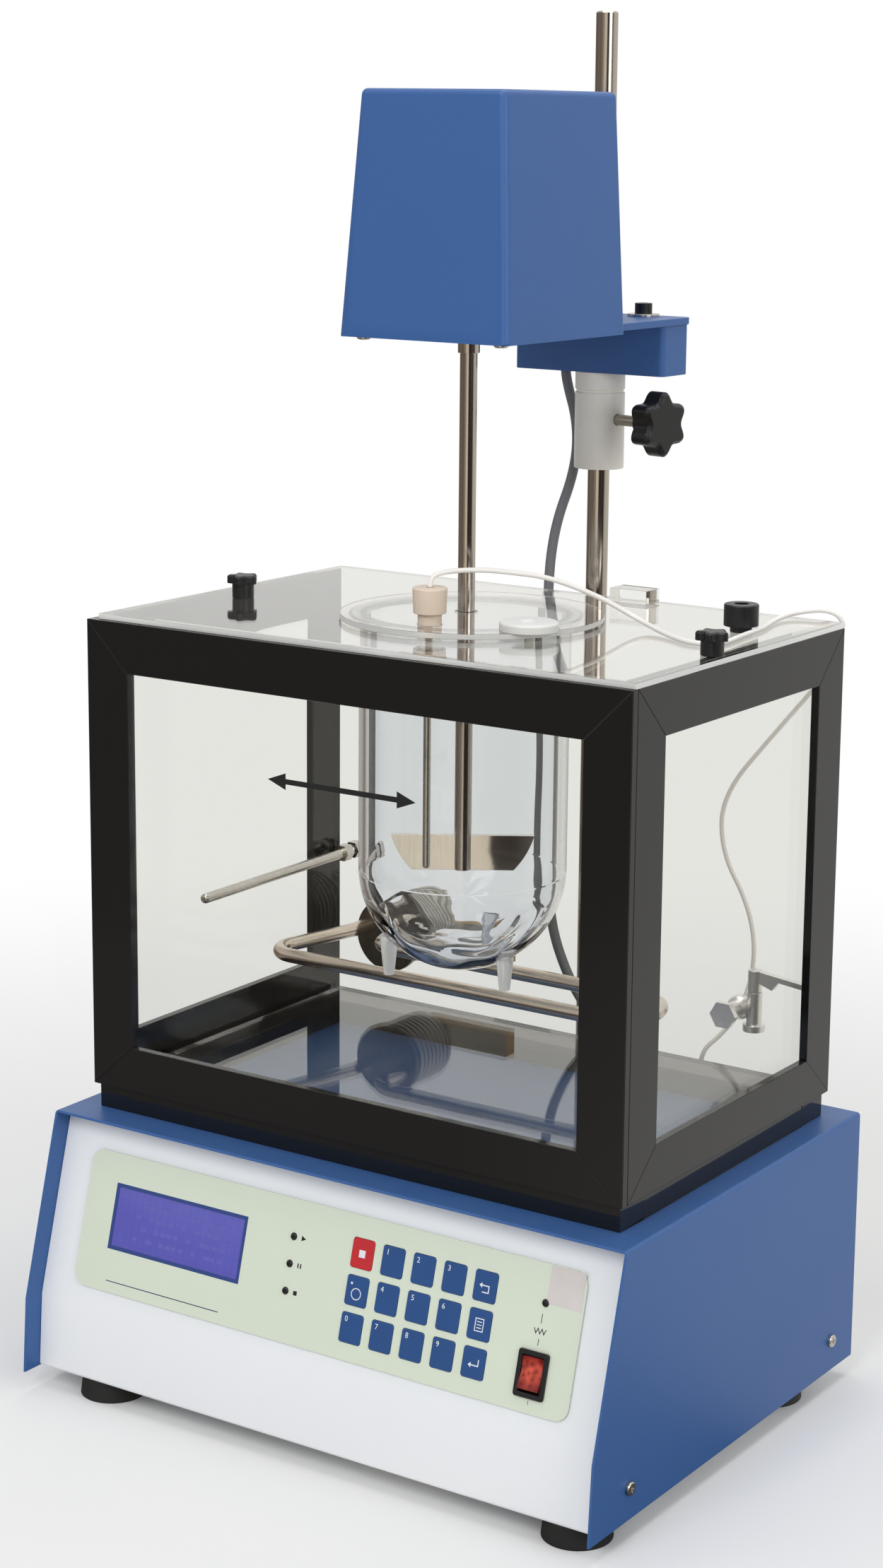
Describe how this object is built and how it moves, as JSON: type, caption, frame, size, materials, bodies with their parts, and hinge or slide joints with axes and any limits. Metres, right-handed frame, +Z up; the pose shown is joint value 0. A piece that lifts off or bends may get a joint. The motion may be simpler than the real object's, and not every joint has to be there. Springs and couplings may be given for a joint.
{
  "type": "tablet dissolution tester",
  "caption": "Bench tester with a sloped control cabinet, a heated clear water bath, a round-bottomed vessel and a paddle stirrer on a height-adjustable rod.",
  "frame": {"origin": "on the bench under the middle of the object's outline, without its cables", "axes": "+X to the user's right, +Y to the back, +Z up"},
  "size_m": [0.3828, 0.32, 0.7744],
  "materials": {
    "blue_paint": "satin",
    "white_paint": "satin",
    "black_trim": "gloss",
    "black_plastic": "matte",
    "overlay": "satin",
    "lens": "gloss",
    "key_blue": "satin",
    "key_red": "satin",
    "rocker_red": "gloss",
    "board": "matte",
    "iron": "rough",
    "rubber": "matte",
    "clear": "clear",
    "vessel_glass": "clear",
    "steel": "polished",
    "aluminium": "satin",
    "cream": "matte",
    "white_plastic": "satin",
    "grey_cable": "satin",
    "brass": "satin"
  },
  "bodies": {
    "base": {"chassis": "white_paint", "base_cover": "blue_paint", "rubber_feet": "rubber", "membrane_overlay": "overlay", "panel_lenses": "lens", "circuit_boards": "board", "transformer": "iron", "rocker_bezel": "black_plastic", "rear_connectors": "black_plastic", "cover_screws": "steel", "tank_plinth": "black_trim", "tank_floor": "clear", "tank_panes": "clear", "tank_frame": "black_trim", "tank_lid": "clear", "filler_cap": "black_plastic", "vessel": "vessel_glass", "heater_tube": "steel", "heater_fitting": "steel", "bath_sensor": "steel", "drain_cock": "steel", "support_rod": "steel", "rod_bracket": "aluminium", "motor_cable": "grey_cable", "probe_cable": "white_plastic"},
    "head": {"arm_collar": "aluminium", "arm_beam": "blue_paint", "arm_plate": "blue_paint", "arm_screws": "steel", "head_housing": "blue_paint", "gear_motor": "aluminium", "spindle_bearings": "steel"},
    "cover": {"vessel_cover": "clear", "probe_stopper": "cream", "temperature_probe": "steel"},
    "spindle": {"spindle_gear": "brass", "shaft_coupling": "steel", "paddle_shaft": "steel"},
    "plug": {"dosing_plug": "white_plastic"},
    "clamp": {"clamp_knob": "black_plastic"},
    "pinion": {"pinion": "brass"},
    "rocker": {"rocker": "rocker_red"},
    "left_knob": {"left_lid_knob": "black_plastic"},
    "right_knob": {"right_lid_knob": "black_plastic"},
    "drain_lever": {"drain_lever": "steel"},
    "key_stop": {"key_stop": "key_red"},
    "key_1": {"key_1": "key_blue"},
    "key_2": {"key_2": "key_blue"},
    "key_3": {"key_3": "key_blue"},
    "key_return": {"key_return": "key_blue"},
    "key_dot": {"key_dot": "key_blue"},
    "key_4": {"key_4": "key_blue"},
    "key_5": {"key_5": "key_blue"},
    "key_6": {"key_6": "key_blue"},
    "key_page": {"key_page": "key_blue"},
    "key_0": {"key_0": "key_blue"},
    "key_7": {"key_7": "key_blue"},
    "key_8": {"key_8": "key_blue"},
    "key_9": {"key_9": "key_blue"},
    "key_enter": {"key_enter": "key_blue"}
  },
  "joints": [
    {"name": "head_lift", "type": "slide", "parent": "base", "child": "head", "axis": [0, 0, 1], "range_m": [-0.028, 0.11], "deforming": ["motor_cable"]},
    {"name": "shaft_spin", "type": "hinge", "parent": "head", "child": "spindle", "pos_m": [0, 0.003, 0.6], "axis": [0, 0, 1], "continuous": true},
    {"name": "pinion_spin", "type": "hinge", "parent": "head", "child": "pinion", "pos_m": [0, 0.033, 0.618], "axis": [0, 0, 1], "continuous": true},
    {"name": "clamp_turn", "type": "hinge", "parent": "head", "child": "clamp", "pos_m": [0, 0.1405, 0.5444], "axis": [0.9781, -0.2079, 0], "range_deg": [0, 360]},
    {"name": "cover_lift", "type": "slide", "parent": "base", "child": "cover", "axis": [0, 0, 1], "range_m": [0, 0.09], "deforming": ["probe_cable"]},
    {"name": "plug_lift", "type": "slide", "parent": "cover", "child": "plug", "axis": [0, 0, 1], "range_m": [0, 0.03]},
    {"name": "left_knob_turn", "type": "hinge", "parent": "base", "child": "left_knob", "pos_m": [-0.1414, -0.0148, 0.4447], "axis": [0, 0, 1], "range_deg": [0, 360]},
    {"name": "right_knob_turn", "type": "hinge", "parent": "base", "child": "right_knob", "pos_m": [0.166, -0.0168, 0.4447], "axis": [0, 0, 1], "range_deg": [0, 360]},
    {"name": "drain_turn", "type": "hinge", "parent": "base", "child": "drain_lever", "pos_m": [0.1175, 0.13, 0.2205], "axis": [0, 0, 1], "range_deg": [0, 90]},
    {"name": "rocker_tip", "type": "hinge", "parent": "base", "child": "rocker", "pos_m": [0.13985, -0.13589, 0.08493], "axis": [1, 0, 0], "range_deg": [0, 14]},
    {"name": "key_stop_press", "type": "slide", "parent": "base", "child": "key_stop", "axis": [0, 0.9646, -0.2637], "range_m": [0, 0.0004], "stiffness_N_per_m": 1500},
    {"name": "key_1_press", "type": "slide", "parent": "base", "child": "key_1", "axis": [0, 0.9646, -0.2637], "range_m": [0, 0.0004], "stiffness_N_per_m": 1500},
    {"name": "key_2_press", "type": "slide", "parent": "base", "child": "key_2", "axis": [0, 0.9646, -0.2637], "range_m": [0, 0.0004], "stiffness_N_per_m": 1500},
    {"name": "key_3_press", "type": "slide", "parent": "base", "child": "key_3", "axis": [0, 0.9646, -0.2637], "range_m": [0, 0.0004], "stiffness_N_per_m": 1500},
    {"name": "key_return_press", "type": "slide", "parent": "base", "child": "key_return", "axis": [0, 0.9646, -0.2637], "range_m": [0, 0.0004], "stiffness_N_per_m": 1500},
    {"name": "key_dot_press", "type": "slide", "parent": "base", "child": "key_dot", "axis": [0, 0.9646, -0.2637], "range_m": [0, 0.0004], "stiffness_N_per_m": 1500},
    {"name": "key_4_press", "type": "slide", "parent": "base", "child": "key_4", "axis": [0, 0.9646, -0.2637], "range_m": [0, 0.0004], "stiffness_N_per_m": 1500},
    {"name": "key_5_press", "type": "slide", "parent": "base", "child": "key_5", "axis": [0, 0.9646, -0.2637], "range_m": [0, 0.0004], "stiffness_N_per_m": 1500},
    {"name": "key_6_press", "type": "slide", "parent": "base", "child": "key_6", "axis": [0, 0.9646, -0.2637], "range_m": [0, 0.0004], "stiffness_N_per_m": 1500},
    {"name": "key_page_press", "type": "slide", "parent": "base", "child": "key_page", "axis": [0, 0.9646, -0.2637], "range_m": [0, 0.0004], "stiffness_N_per_m": 1500},
    {"name": "key_0_press", "type": "slide", "parent": "base", "child": "key_0", "axis": [0, 0.9646, -0.2637], "range_m": [0, 0.0004], "stiffness_N_per_m": 1500},
    {"name": "key_7_press", "type": "slide", "parent": "base", "child": "key_7", "axis": [0, 0.9646, -0.2637], "range_m": [0, 0.0004], "stiffness_N_per_m": 1500},
    {"name": "key_8_press", "type": "slide", "parent": "base", "child": "key_8", "axis": [0, 0.9646, -0.2637], "range_m": [0, 0.0004], "stiffness_N_per_m": 1500},
    {"name": "key_9_press", "type": "slide", "parent": "base", "child": "key_9", "axis": [0, 0.9646, -0.2637], "range_m": [0, 0.0004], "stiffness_N_per_m": 1500},
    {"name": "key_enter_press", "type": "slide", "parent": "base", "child": "key_enter", "axis": [0, 0.9646, -0.2637], "range_m": [0, 0.0004], "stiffness_N_per_m": 1500}
  ],
  "couplings": [
    {"joint": "pinion_spin", "follows": "shaft_spin", "ratio": -3}
  ]
}
